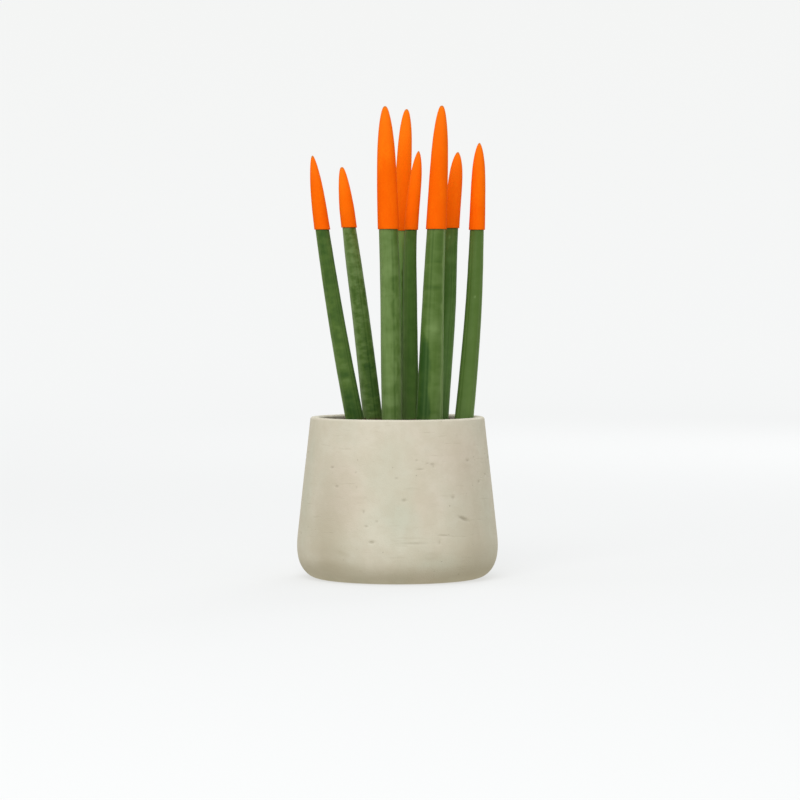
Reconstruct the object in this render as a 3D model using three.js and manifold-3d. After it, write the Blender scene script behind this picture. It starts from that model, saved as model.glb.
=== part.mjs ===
// A cylindrical snake plant in its concrete pot.
//
// Eight single round leaves stand in potting soil, and their ends were dipped in orange paint down
// to a level line. The pot is one cast piece. Units are millimetres, +Z is up, and the origin is
// the middle of the pot's flat foot, on the surface that it stands on. The plant's best side
// faces -Y.

import * as THREE from "three";
import { mergeVertices } from "three/addons/utils/BufferGeometryUtils.js";
import Module from "manifold-3d";

const wasm = await Module();
wasm.setup();

// ---- driving dimensions ----------------------------------------------------------------------

const CLEARANCE = 0.3; // air between two pieces that touch

// The pot, a cone that widens downwards and then turns in smoothly to its foot. It is widest, at
// 154 across, about 24 above the foot.
const POT_HEIGHT = 123;
const MOUTH_RADIUS = 66.6; // outside, at the rim
const FLARE = 0.11; // how much the side widens for each millimetre down
const FOOT_RADIUS = 60; // of the flat that it stands on
const TURN_HEIGHT = 34; // where the side starts to turn in
const TURN_FULLNESS = 2.5; // 2 turns it in as an ellipse, and more turns it in later
const WALL = 7.5;
const FLOOR = 11;
const RIM_ROUNDING = 2;
const INNER_CORNER = 16; // radius between the inside wall and the floor
const POT_SIDES = 48; // of the soil too
const TURN_STEPS = 9;
const CORNER_STEPS = 4;
const RIM_STEPS = 3;

// The soil, a low mound around the leaves.
const SOIL_DEPTH = 7; // its edge lies this far below the rim
const SOIL_MOUND = 3;
const SOIL_LUMP = 0.9; // height of its lumps
const LUMP_WAVES = { x: 0.23, y: 0.27, across: 0.41 }; // radians of each wave per millimetre
const SOIL_RINGS = 6;

// The leaves.
const LEAF_FOOT = 84; // height of the buried feet
const LEAF_SIDES = 20;
const LEAF_RINGS = 15;
const GROOVES = 4; // shallow lengthwise grooves round each leaf
const GROOVE_DEPTH = 0.4;
const GROOVE_SHARPNESS = 16;
const GROOVE_END = 0.8; // share of the height where the grooves have faded out
const GROOVE_FADE = 0.15; // share of the height over which they fade

// The paint that the leaf ends were dipped in.
const DIP_LINE = 265.3; // height of the coats' level lower edges
const PAINT_THICKNESS = 0.6;
const COAT_FULLNESS = 0.86; // below 1 a coat's point is fuller than its leaf's
const COAT_SHOULDER = 0.085; // how much wider yet a coat is at the shoulder of its point
const COAT_RISE = 15; // height above the dip line over which that widening sets in
const CUT_SPAN = 400; // side of the box that cuts the paint off level, wider than the plant

// Each leaf, from left to right by its tip. path holds the middle of the leaf as [x, y] at five
// equally spaced heights, from the foot to the tip, and top is the height of its bare tip. girth
// holds its radius at the foot, half-way and at the tip if it had no point, and point is the
// length over which it narrows, with a fuller or a slimmer point by its power. turn is the angle
// of its first groove in degrees, from +X towards +Y, and dry is how much higher than the dip line
// its paint starts.
const LEAVES = [
  {
    path: [[-25, -7], [-36.7, -8.5], [-47.3, -10.5], [-56.4, -12.5], [-64.3, -14]],
    top: 320.4,
    girth: [7.2, 6.1, 4.2],
    point: { length: 62, power: 0.57 },
    turn: 36,
    dry: 0,
  },
  {
    path: [[-14.5, 12], [-21.2, 13], [-28, 14], [-35.6, 15], [-42.6, 16]],
    top: 313,
    girth: [7.9, 6.6, 4.9],
    point: { length: 78, power: 0.45 },
    turn: 18,
    dry: 2.2,
  },
  {
    path: [[-3.5, -19], [-4.5, -21], [-5.3, -22.5], [-7.5, -23.5], [-9.3, -24]],
    top: 357.1,
    girth: [7.4, 7.7, 5.6],
    point: { length: 72, power: 0.46 },
    turn: 18,
    dry: 0,
  },
  {
    path: [[0.9, 17], [0.9, 20], [2, 23], [3.9, 26], [7.1, 28]],
    top: 358.1,
    girth: [7.3, 6.2, 4.3],
    point: { length: 50, power: 0.46 },
    turn: 36,
    dry: 0,
  },
  {
    path: [[9.6, 0], [9.8, -1], [9.7, -2], [10.3, -3], [16.1, -4]],
    top: 324.3,
    girth: [7.2, 5.5, 3.7],
    point: { length: 40, power: 0.6 },
    turn: 54,
    dry: 0,
  },
  {
    path: [[23.1, -21], [25.2, -22.5], [27.4, -24], [30.4, -25], [33.5, -26]],
    top: 357.4,
    girth: [11.1, 8, 5],
    point: { length: 68, power: 0.44 },
    turn: 72,
    dry: 0,
  },
  {
    path: [[30.2, 4.5], [34.3, 6], [38.7, 8], [41.2, 10], [46.3, 12]],
    top: 324.3,
    girth: [6.5, 6, 4.3],
    point: { length: 32, power: 0.6 },
    turn: 18,
    dry: 1.6,
  },
  {
    path: [[46.8, -7], [53.2, -5.5], [58.1, -4], [60.7, -2], [62.5, 0]],
    top: 330.7,
    girth: [7.4, 6.3, 3.9],
    point: { length: 36, power: 0.6 },
    turn: 54,
    dry: 0,
  },
];

const CONCRETE = { color: 0xcfc8b5, roughness: 0.9, metalness: 0 };
const EARTH = { color: 0x3b2c20, roughness: 1, metalness: 0 };
const LEAF_GREEN = { color: 0x556f3a, roughness: 0.5, metalness: 0 };
const ORANGE_PAINT = { color: 0xfa6905, roughness: 0.75, metalness: 0 };

// ---- helpers ---------------------------------------------------------------------------------

// A closed geometry as a solid that can be joined and cut.
function solidFrom(geometry) {
  const bare = geometry.clone();
  bare.deleteAttribute("normal");
  bare.deleteAttribute("uv");
  const welded = mergeVertices(bare, 1e-4);
  return new wasm.Manifold(
    new wasm.Mesh({
      numProp: 3,
      vertProperties: new Float32Array(welded.attributes.position.array),
      triVerts: new Uint32Array(welded.index.array),
    }),
  );
}

// The geometry of a solid.
function geometryFrom(solid) {
  const mesh = solid.getMesh();
  const geometry = new THREE.BufferGeometry();
  geometry.setAttribute("position", new THREE.BufferAttribute(mesh.vertProperties, 3));
  geometry.setIndex(new THREE.BufferAttribute(mesh.triVerts, 1));
  geometry.computeVertexNormals();
  return geometry;
}

// A body turned about the Z axis, from [radius, height] points that run up its outside.
function turned(points, sides) {
  const outline = points.map(([radius, height]) => new THREE.Vector2(radius, height));
  return new THREE.LatheGeometry(outline, sides).rotateX(Math.PI / 2);
}

// The points of a quarter of a circle, from startAngle, with the given number of steps.
function quarterCircle(centre, radius, startAngle, steps) {
  return Array.from({ length: steps + 1 }, (_, i) => {
    const angle = startAngle + ((Math.PI / 2) * i) / steps;
    return [centre[0] + radius * Math.cos(angle), centre[1] + radius * Math.sin(angle)];
  });
}

function addMesh(group, name, geometry, finish) {
  const mesh = new THREE.Mesh(geometry, new THREE.MeshStandardMaterial(finish));
  mesh.name = name;
  group.add(mesh);
}

// ---- the pot ---------------------------------------------------------------------------------

// The outside radius of the pot's plain cone at a height.
function sideRadius(height) {
  return MOUTH_RADIUS + FLARE * (POT_HEIGHT - height);
}

// The inside radius of the pot above its inner corner.
function innerRadius(height) {
  return sideRadius(height) - WALL;
}

// The outside of the pot from its foot up to where the plain cone starts.
function footTurn() {
  const overhang = sideRadius(0) - FOOT_RADIUS;
  return Array.from({ length: TURN_STEPS + 1 }, (_, i) => {
    const angle = (Math.PI / 2) * (1 - i / TURN_STEPS);
    const height = TURN_HEIGHT * (1 - Math.sin(angle) ** (2 / TURN_FULLNESS));
    return [sideRadius(height) - overhang * (1 - Math.cos(angle)), height];
  });
}

function planterGeometry() {
  const rimBase = POT_HEIGHT - RIM_ROUNDING;
  const outerMiddle = [sideRadius(rimBase) - RIM_ROUNDING, rimBase];
  const innerMiddle = [innerRadius(rimBase) + RIM_ROUNDING, rimBase];
  const cornerTop = FLOOR + INNER_CORNER;
  const cornerMiddle = [innerRadius(cornerTop) - INNER_CORNER, cornerTop];
  const outline = [
    [0, 0],
    ...footTurn(),
    ...quarterCircle(outerMiddle, RIM_ROUNDING, 0, RIM_STEPS),
    ...quarterCircle(innerMiddle, RIM_ROUNDING, Math.PI / 2, RIM_STEPS),
    ...quarterCircle(cornerMiddle, INNER_CORNER, -Math.PI / 2, CORNER_STEPS).reverse(),
    [0, FLOOR],
  ];
  return turned(outline, POT_SIDES);
}

// ---- the leaves ------------------------------------------------------------------------------

// The curve that runs up the middle of a leaf, from its foot to its tip.
function leafSpine(leaf) {
  const last = leaf.path.length - 1;
  const points = leaf.path.map(
    ([x, y], i) => new THREE.Vector3(x, y, THREE.MathUtils.lerp(LEAF_FOOT, leaf.top, i / last)),
  );
  return new THREE.CatmullRomCurve3(points, false, "catmullrom", 0.5);
}

// The radius of a leaf's skin at a height above the leaf's foot. grow is how far the skin stands
// off the leaf, also past the tip. fullness below 1 makes its point fuller, and shoulder widens
// that point above the dip line.
function skinRadius(leaf, height, { grow, fullness, shoulder }) {
  const length = leaf.top - LEAF_FOOT;
  const share = THREE.MathUtils.clamp(height / length, 0, 1);
  const [foot, middle, top] = leaf.girth;
  const shaft =
    foot * (1 - share) * (1 - 2 * share) +
    middle * 4 * share * (1 - share) +
    top * share * (2 * share - 1);
  const belowTip = (length + grow - height) / (leaf.point.length + grow);
  const left = 1 - Math.min(belowTip, 1);
  const aboveLine = LEAF_FOOT + height - DIP_LINE - leaf.dry;
  const rise = THREE.MathUtils.smoothstep(aboveLine, 0, COAT_RISE);
  const swell = shoulder * Math.sin(Math.PI * left ** 2) * rise;
  return (shaft + grow) * (1 + swell) * (1 - left ** 2) ** (leaf.point.power * fullness);
}

// How far a groove cuts into a leaf at an angle round it and a share of its height.
function grooveDepth(leaf, angle, share) {
  const fade = THREE.MathUtils.smoothstep(GROOVE_END - share, 0, GROOVE_FADE);
  const fromGroove = angle - THREE.MathUtils.degToRad(leaf.turn);
  return GROOVE_DEPTH * fade * Math.cos((fromGroove * GROOVES) / 2) ** GROOVE_SHARPNESS;
}

// A leaf's body, or with grow above 0 a body that stands off the leaf by that much all over. It
// is turned upright with the leaf's foot at zero height, and then bent along the leaf's spine. Its
// rings lie closer together towards the tip.
function leafBody(leaf, { grow = 0, fullness = 1, shoulder = 0, grooved = false } = {}) {
  const length = leaf.top - LEAF_FOOT;
  const heights = Array.from({ length: LEAF_RINGS }, (_, i) => {
    const up = 1 - (1 - i / LEAF_RINGS) ** 2;
    return THREE.MathUtils.lerp(-grow, length + grow, up);
  });
  const skin = { grow, fullness, shoulder };
  const rings = heights.map((height) => [skinRadius(leaf, height, skin), height]);
  const body = turned([[0, -grow], ...rings, [0, length + grow]], LEAF_SIDES);

  const spine = leafSpine(leaf);
  const upright = new THREE.Vector3(0, 0, 1);
  const tilt = new THREE.Quaternion();
  const place = body.attributes.position;
  for (let i = 0; i < place.count; i += 1) {
    const share = THREE.MathUtils.clamp(place.getZ(i) / length, 0, 1);
    const beyond = place.getZ(i) - share * length;
    const angle = Math.atan2(place.getY(i), place.getX(i));
    const radius = Math.hypot(place.getX(i), place.getY(i));
    const cut = grooved ? grooveDepth(leaf, angle, share) : 0;
    const reach = Math.max(radius - cut, 0);
    const offset = new THREE.Vector3(reach * Math.cos(angle), reach * Math.sin(angle), beyond);
    tilt.setFromUnitVectors(upright, spine.getTangent(share));
    offset.applyQuaternion(tilt).add(spine.getPoint(share));
    place.setXYZ(i, offset.x, offset.y, offset.z);
  }
  return solidFrom(body);
}

// The coat of paint on a leaf's end: a thin shell, open below at its level lower edge.
function paintCoat(leaf) {
  const point = { fullness: COAT_FULLNESS, shoulder: COAT_SHOULDER };
  const outside = leafBody(leaf, { grow: CLEARANCE + PAINT_THICKNESS, ...point });
  const inside = leafBody(leaf, { grow: CLEARANCE, ...point });
  const middle = DIP_LINE + leaf.dry - CUT_SPAN / 2;
  const below = solidFrom(
    new THREE.BoxGeometry(CUT_SPAN, CUT_SPAN, CUT_SPAN).translate(0, 0, middle),
  );
  return outside.subtract(inside).subtract(below);
}

// ---- the soil --------------------------------------------------------------------------------

// The height of the soil's top at a place on it: a low mound with soft lumps.
function soilHeight(x, y, edgeRadius) {
  const edge = POT_HEIGHT - SOIL_DEPTH;
  const inwards = 1 - Math.hypot(x, y) ** 2 / edgeRadius ** 2;
  const lumps =
    Math.sin(x * LUMP_WAVES.x) * Math.cos(y * LUMP_WAVES.y) +
    Math.sin((x + y) * LUMP_WAVES.across);
  return edge + SOIL_MOUND * inwards + SOIL_LUMP * lumps * Math.min(1, 3 * inwards);
}

// The soil fills the pot, with a plain hole for the foot of each leaf.
function soilSolid() {
  const edge = POT_HEIGHT - SOIL_DEPTH;
  const topRadius = innerRadius(edge) - CLEARANCE;
  const floor = FLOOR + CLEARANCE;
  const cornerTop = FLOOR + INNER_CORNER;
  const corner = quarterCircle(
    [innerRadius(cornerTop) - INNER_CORNER, cornerTop],
    INNER_CORNER - CLEARANCE,
    -Math.PI / 2,
    CORNER_STEPS,
  );
  const rings = Array.from({ length: SOIL_RINGS - 1 }, (_, i) => [
    topRadius * (1 - (i + 1) / SOIL_RINGS),
    edge,
  ]);
  const outline = [
    [0, floor],
    ...corner,
    [topRadius, edge],
    ...rings,
    [0, edge],
  ];
  const heap = turned(outline, POT_SIDES);
  const place = heap.attributes.position;
  for (let i = 0; i < place.count; i += 1) {
    if (place.getZ(i) > edge - CLEARANCE) {
      place.setZ(i, soilHeight(place.getX(i), place.getY(i), topRadius));
    }
  }
  return LEAVES.reduce(
    (soil, leaf) => soil.subtract(leafBody(leaf, { grow: CLEARANCE })),
    solidFrom(heap),
  );
}

// ---- the whole plant -------------------------------------------------------------------------

const plant = new THREE.Group();
plant.name = "potted_snake_plant";

addMesh(plant, "planter", planterGeometry(), CONCRETE);
addMesh(plant, "soil", geometryFrom(soilSolid()), EARTH);
LEAVES.forEach((leaf, i) => {
  addMesh(plant, `leaf_${i + 1}`, geometryFrom(leafBody(leaf, { grooved: true })), LEAF_GREEN);
  addMesh(plant, `paint_${i + 1}`, geometryFrom(paintCoat(leaf)), ORANGE_PAINT);
});

export default plant;
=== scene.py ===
"""A cylindrical snake plant in its concrete pot, dressed for rendering.

Eight round leaves stand in potting soil, each dipped in orange paint down to one level line. All
pieces are made in metres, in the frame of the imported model: +Z is up, the origin is the middle of
the pot's foot, and the plant's best side faces -Y.
"""

import logging
import math
from dataclasses import dataclass, field
from enum import Enum

import bmesh
import bpy
import numpy as np
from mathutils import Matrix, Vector, noise


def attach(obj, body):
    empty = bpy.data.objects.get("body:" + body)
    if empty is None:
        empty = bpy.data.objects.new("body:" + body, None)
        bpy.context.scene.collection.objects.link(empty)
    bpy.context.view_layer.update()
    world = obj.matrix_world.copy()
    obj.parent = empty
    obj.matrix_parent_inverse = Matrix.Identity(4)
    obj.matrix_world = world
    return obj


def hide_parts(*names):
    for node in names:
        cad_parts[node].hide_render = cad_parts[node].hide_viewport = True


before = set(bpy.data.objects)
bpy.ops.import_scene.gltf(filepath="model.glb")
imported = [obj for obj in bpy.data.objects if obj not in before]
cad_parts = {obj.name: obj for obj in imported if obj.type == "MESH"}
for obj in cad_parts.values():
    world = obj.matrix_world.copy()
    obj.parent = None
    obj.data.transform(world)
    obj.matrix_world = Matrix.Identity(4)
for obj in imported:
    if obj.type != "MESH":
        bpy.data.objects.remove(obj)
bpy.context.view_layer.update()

log = logging.getLogger("snake_plant")

BODY = "root"
SKIN_GAP = 0.3e-3  # air between two pieces that touch
LEAF_ROUND = 0.007  # the radius of every leaf in its straightened place
LEAF_STEP = 0.5  # how far apart the straightened leaves lie, so that no two look alike

Array = np.ndarray
Mesh = bpy.types.Mesh
Material = bpy.types.Material
Output = bpy.types.NodeSocket
Triple = tuple[float, float, float]
Colour = tuple[float, float, float, float]


class Slot(Enum):
    """The material slots of the record."""

    CONCRETE = "concrete"
    SOIL = "potting_soil"
    LEAF = "leaf"
    PAINT = "orange_paint"


class Effect(Enum):
    """The shader groups that several finishes use."""

    BLOTCHES = "soft_blotches"
    GRAIN = "fine_grain"
    SPECKS = "scattered_specks"


def shade(*values: int) -> Colour:
    """Turns a display colour's red, green and blue, from 0 to 255, into a linear colour."""
    parts = [value / 255 for value in values]
    return (*(p / 12.92 if p <= 0.04045 else ((p + 0.055) / 1.055) ** 2.4 for p in parts), 1.0)


def in_scene(name: str, data: bpy.types.ID) -> bpy.types.Object:
    """Makes an object from its data and puts it in the scene."""
    thing = bpy.data.objects.new(name, data)
    bpy.context.scene.collection.objects.link(thing)
    return thing


def finished(name: str, mesh: Mesh, material: Material, node: str = "") -> None:
    """Puts a mesh in the scene as a piece of the plant, and logs its size.

    Args:
        name: The piece's name.
        mesh: Its mesh, in the frame's own place.
        material: Its material.
        node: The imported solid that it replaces, if it replaces one.
    """
    mesh.materials.append(material)
    piece = in_scene(name, mesh)
    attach(piece, BODY)
    if node:
        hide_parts(node)
    triangles = sum(len(face.vertices) - 2 for face in mesh.polygons)
    size = " x ".join(f"{1000 * side:.1f}" for side in piece.dimensions)
    log.info("%s: %s mm, %d triangles", name, size, triangles)


def quads_between(ring_count: int, sides: int) -> Array:
    """The faces between rings of points, as the numbers of their four corners."""
    here = np.arange(sides)
    after = (here + 1) % sides
    start = (np.arange(ring_count - 1) * sides)[:, None]
    corners = [start + here, start + after, start + sides + after, start + sides + here]
    return np.stack(corners, axis=-1).reshape(-1, 4)


def skin_of_rings(name: str, rings: Array, first_pole: Array, last_pole: Array) -> Mesh:
    """Makes a closed smooth skin over rings of points.

    Args:
        name: The mesh's name.
        rings: Points by ring and place round it, counter-clockwise about the way that they run.
        first_pole: The point that closes the first ring.
        last_pole: The point that closes the last ring.

    Returns:
        The mesh. Its points are the rings in order, the first pole and the last pole.
    """
    ring_count, sides = rings.shape[:2]
    bottom = ring_count * sides
    last = bottom - sides
    pairs = [(here, (here + 1) % sides) for here in range(sides)]
    fans = [[bottom, b, a] for a, b in pairs] + [[bottom + 1, last + a, last + b] for a, b in pairs]
    points = np.vstack([rings.reshape(-1, 3), first_pole, last_pole])
    mesh = bpy.data.meshes.new(name)
    mesh.from_pydata(points.tolist(), [], quads_between(ring_count, sides).tolist() + fans)
    mesh.shade_smooth()
    return mesh


def keep_values(mesh: Mesh, **kept: Array) -> None:
    """Stores numbers by name for a mesh's points in order, with 0 for the points left over."""
    for name, values in kept.items():
        numbers = np.zeros(len(mesh.vertices), dtype=np.float32)
        numbers[: values.size] = values.ravel()
        mesh.attributes.new(name, "FLOAT", "POINT").data.foreach_set("value", numbers)


def uneven(points: Array, size: float, depth: int = 1) -> Array:
    """Soft noise at places in space.

    Args:
        points: The places, in any array of vectors.
        size: The size of its bumps.
        depth: How many octaves it has.

    Returns:
        Values from about -1 to 1, in the shape of the places.
    """
    flat = (points / size).reshape(-1, 3)
    if depth == 1:
        values = [noise.noise(place) for place in flat]
    else:
        values = [noise.fractal(place, 0.9, 2.0, depth) for place in flat]
    return np.array(values).reshape(points.shape[:-1])


def smooth_step(values: Array, low: float, high: float) -> Array:
    """Rises smoothly from 0 at low to 1 at high."""
    share = np.clip((values - low) / (high - low), 0, 1)
    return share * share * (3 - 2 * share)


def angle_from(angles: Array, degrees: float) -> Array:
    """How far angles in radians are past one in degrees, from minus half a turn to half a turn."""
    return (angles - math.radians(degrees) + math.pi) % (2 * math.pi) - math.pi


def angles_round(sides: int) -> Array:
    """Evenly spaced angles round a full turn."""
    return np.linspace(0, 2 * math.pi, sides, endpoint=False)


def turned(outline: Array, sides: int) -> Array:
    """The rings of points that an outline of radii and heights makes when it is turned."""
    angles = angles_round(sides)
    radii, heights = outline[:, :1] + 0 * angles, outline[:, 1:] + 0 * angles
    return np.stack([radii * np.cos(angles), radii * np.sin(angles), heights], axis=-1)


def quarter_circle(middle: tuple[float, float], radius: float, start: float, steps: int) -> Array:
    """A quarter of a circle in a turned body's outline.

    Args:
        middle: Its middle, as radius and height.
        radius: Its own radius.
        start: The angle at which it starts.
        steps: How many steps it has.

    Returns:
        Its points, as radius and height.
    """
    angles = start + np.linspace(0, math.pi / 2, steps + 1)
    return np.array(middle) + radius * np.stack([np.cos(angles), np.sin(angles)], axis=1)


# ---- materials ----


class Sheet:
    """A node tree, with short ways to add and join its nodes."""

    def __init__(self, tree: bpy.types.NodeTree) -> None:
        """Takes the node tree that it adds to."""
        self.tree = tree

    def add(self, kind: str, inputs: dict | None = None, **settings: object) -> bpy.types.Node:
        """Adds a node.

        Args:
            kind: The node's type.
            inputs: Values or other nodes' outputs for its sockets, by their name or number.
            settings: Its own properties.

        Returns:
            The node.
        """
        node = self.tree.nodes.new(kind)
        for setting, value in settings.items():
            setattr(node, setting, value)
        for socket, value in (inputs or {}).items():
            if isinstance(value, bpy.types.NodeSocket):
                self.tree.links.new(value, node.inputs[socket])
            else:
                node.inputs[socket].default_value = value
        return node

    def place(self) -> Output:
        """The place on the object."""
        return self.add("ShaderNodeTexCoord").outputs["Object"]

    def kept(self, name: str, output: str = "Fac") -> Output:
        """Reads what is kept on the mesh under a name."""
        return self.add("ShaderNodeAttribute", attribute_name=name).outputs[output]

    def math(self, operation: str, first: object, second: object) -> Output:
        """Works out one sum of two numbers, each a value or an output."""
        return self.add("ShaderNodeMath", {0: first, 1: second}, operation=operation).outputs[0]

    def total(self, start: object, *parts: tuple[float, Output]) -> Output:
        """Adds parts to a start, each times its strength."""
        for strength, part in parts:
            start = self.math("ADD", start, self.math("MULTIPLY", part, strength))
        return start

    def stretch(self, place: Output, factors: object) -> Output:
        """Multiplies a place by three factors."""
        inputs = {0: place, 1: factors}
        return self.add("ShaderNodeVectorMath", inputs, operation="MULTIPLY").outputs[0]

    def rise(
        self, value: Output, start: object, end: object, low: float = 0.0, high: float = 1.0,
        kind: str = "SMOOTHSTEP",
    ) -> Output:
        """Runs from low to high while a value goes from start to end."""
        inputs = {0: value, 1: start, 2: end, 3: low, 4: high}
        return self.add("ShaderNodeMapRange", inputs, interpolation_type=kind).outputs[0]

    def mix(self, share: object, first: object, second: object) -> Output:
        """Mixes two colours, each a value or an output, by the share of the second."""
        inputs = {0: share, 6: first, 7: second}
        return self.add("ShaderNodeMix", inputs, data_type="RGBA").outputs[2]

    def layers(self, colour: object, *layers: tuple[float, Output, Colour]) -> Output:
        """Lays colours over another in turn, each by its strength and its mask."""
        for strength, mask, tint in layers:
            colour = self.mix(self.math("MULTIPLY", mask, strength), colour, tint)
        return colour

    def noise(self, place: Output, size: Output, detail: float, roughness: float) -> Output:
        """Adds noise whose bumps have a given size."""
        inputs = {"Vector": place, "Scale": self.math("DIVIDE", 1.0, size)}
        inputs |= {"Detail": detail, "Roughness": roughness}
        return self.add("ShaderNodeTexNoise", inputs).outputs[0]

    def bump(self, height: Output, strength: float, distance: float) -> Output:
        """Turns a height into a normal."""
        inputs = {"Strength": strength, "Distance": distance, "Height": height}
        return self.add("ShaderNodeBump", inputs).outputs[0]

    def group(self, effect: Effect, place: Output, size: float, **others: object) -> Output:
        """Places a shader group, whose other inputs are named in small letters."""
        inputs = {"Place": place, "Size": size}
        inputs |= {name.title(): value for name, value in others.items()}
        tree = bpy.data.node_groups[effect.value]
        return self.add("ShaderNodeGroup", inputs, node_tree=tree).outputs[0]

    def surface(self, colour: object, rough: object, shine: float, **others: object) -> None:
        """Adds a material's Principled shader, whose other inputs are named in small letters."""
        inputs = {"Base Color": colour, "Roughness": rough, "Specular IOR Level": shine}
        inputs |= {name.replace("_", " ").title(): value for name, value in others.items()}
        shader = self.add("ShaderNodeBsdfPrincipled", inputs)
        self.add("ShaderNodeOutputMaterial", {"Surface": shader.outputs[0]})


def open_material(name: str) -> tuple[Material, Sheet]:
    """Starts a material, and returns it with its empty node tree."""
    material = bpy.data.materials.new(name)
    material.use_nodes = True
    material.node_tree.nodes.clear()
    return material, Sheet(material.node_tree)


def open_group(effect: Effect, output: str, **inputs: float | Triple) -> tuple[Sheet, dict]:
    """Starts a shader group.

    Args:
        effect: Which group it is.
        output: The name of the number that it puts out.
        inputs: The usual value of each input, by its name.

    Returns:
        Its node tree, and its inputs' sockets by name.
    """
    tree = bpy.data.node_groups.new(effect.value, "ShaderNodeTree")
    for name, usual in inputs.items():
        kind = "NodeSocketVector" if isinstance(usual, tuple) else "NodeSocketFloat"
        tree.interface.new_socket(name, in_out="INPUT", socket_type=kind).default_value = usual
    tree.interface.new_socket(output, in_out="OUTPUT", socket_type="NodeSocketFloat")
    sheet = Sheet(tree)
    given = sheet.add("NodeGroupInput").outputs
    return sheet, {name: given[name] for name in inputs}


def build_blotches() -> None:
    """Soft patches of a given size and stretch, as a mask."""
    usual = {"Place": (0, 0, 0), "Size": 0.01, "Squeeze": (1, 1, 1), "Low": 0.35, "High": 0.65}
    sheet, given = open_group(Effect.BLOTCHES, "Mask", **usual)
    squeezed = sheet.stretch(given["Place"], given["Squeeze"])
    cloud = sheet.noise(squeezed, given["Size"], 3.0, 0.55)
    sheet.add("NodeGroupOutput", {"Mask": sheet.rise(cloud, given["Low"], given["High"])})


def build_grain() -> None:
    """A fine rough grain, as a height."""
    sheet, given = open_group(Effect.GRAIN, "Height", Place=(0, 0, 0), Size=0.001)
    grain = sheet.noise(given["Place"], given["Size"], 5.0, 0.65)
    sheet.add("NodeGroupOutput", {"Height": grain})


def build_specks() -> None:
    """Small round specks, scattered with gaps, as a mask."""
    usual = {"Place": (0, 0, 0), "Size": 0.0005, "Spacing": 0.004, "Share": 0.5}
    sheet, given = open_group(Effect.SPECKS, "Mask", **usual)
    fineness = sheet.math("DIVIDE", 1.0, given["Spacing"])
    cells = sheet.add("ShaderNodeTexVoronoi", {"Vector": given["Place"], "Scale": fineness})
    chance = sheet.add("ShaderNodeSeparateColor", {0: cells.outputs["Color"]})
    kept = sheet.math("LESS_THAN", chance.outputs[0], given["Share"])
    spread = sheet.math("ADD", 0.4, chance.outputs[1])
    edge = sheet.math("MULTIPLY", sheet.math("MULTIPLY", given["Size"], fineness), spread)
    dot = sheet.rise(cells.outputs["Distance"], edge, sheet.math("MULTIPLY", edge, 0.4))
    sheet.add("NodeGroupOutput", {"Mask": sheet.math("MULTIPLY", dot, kept)})


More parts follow.
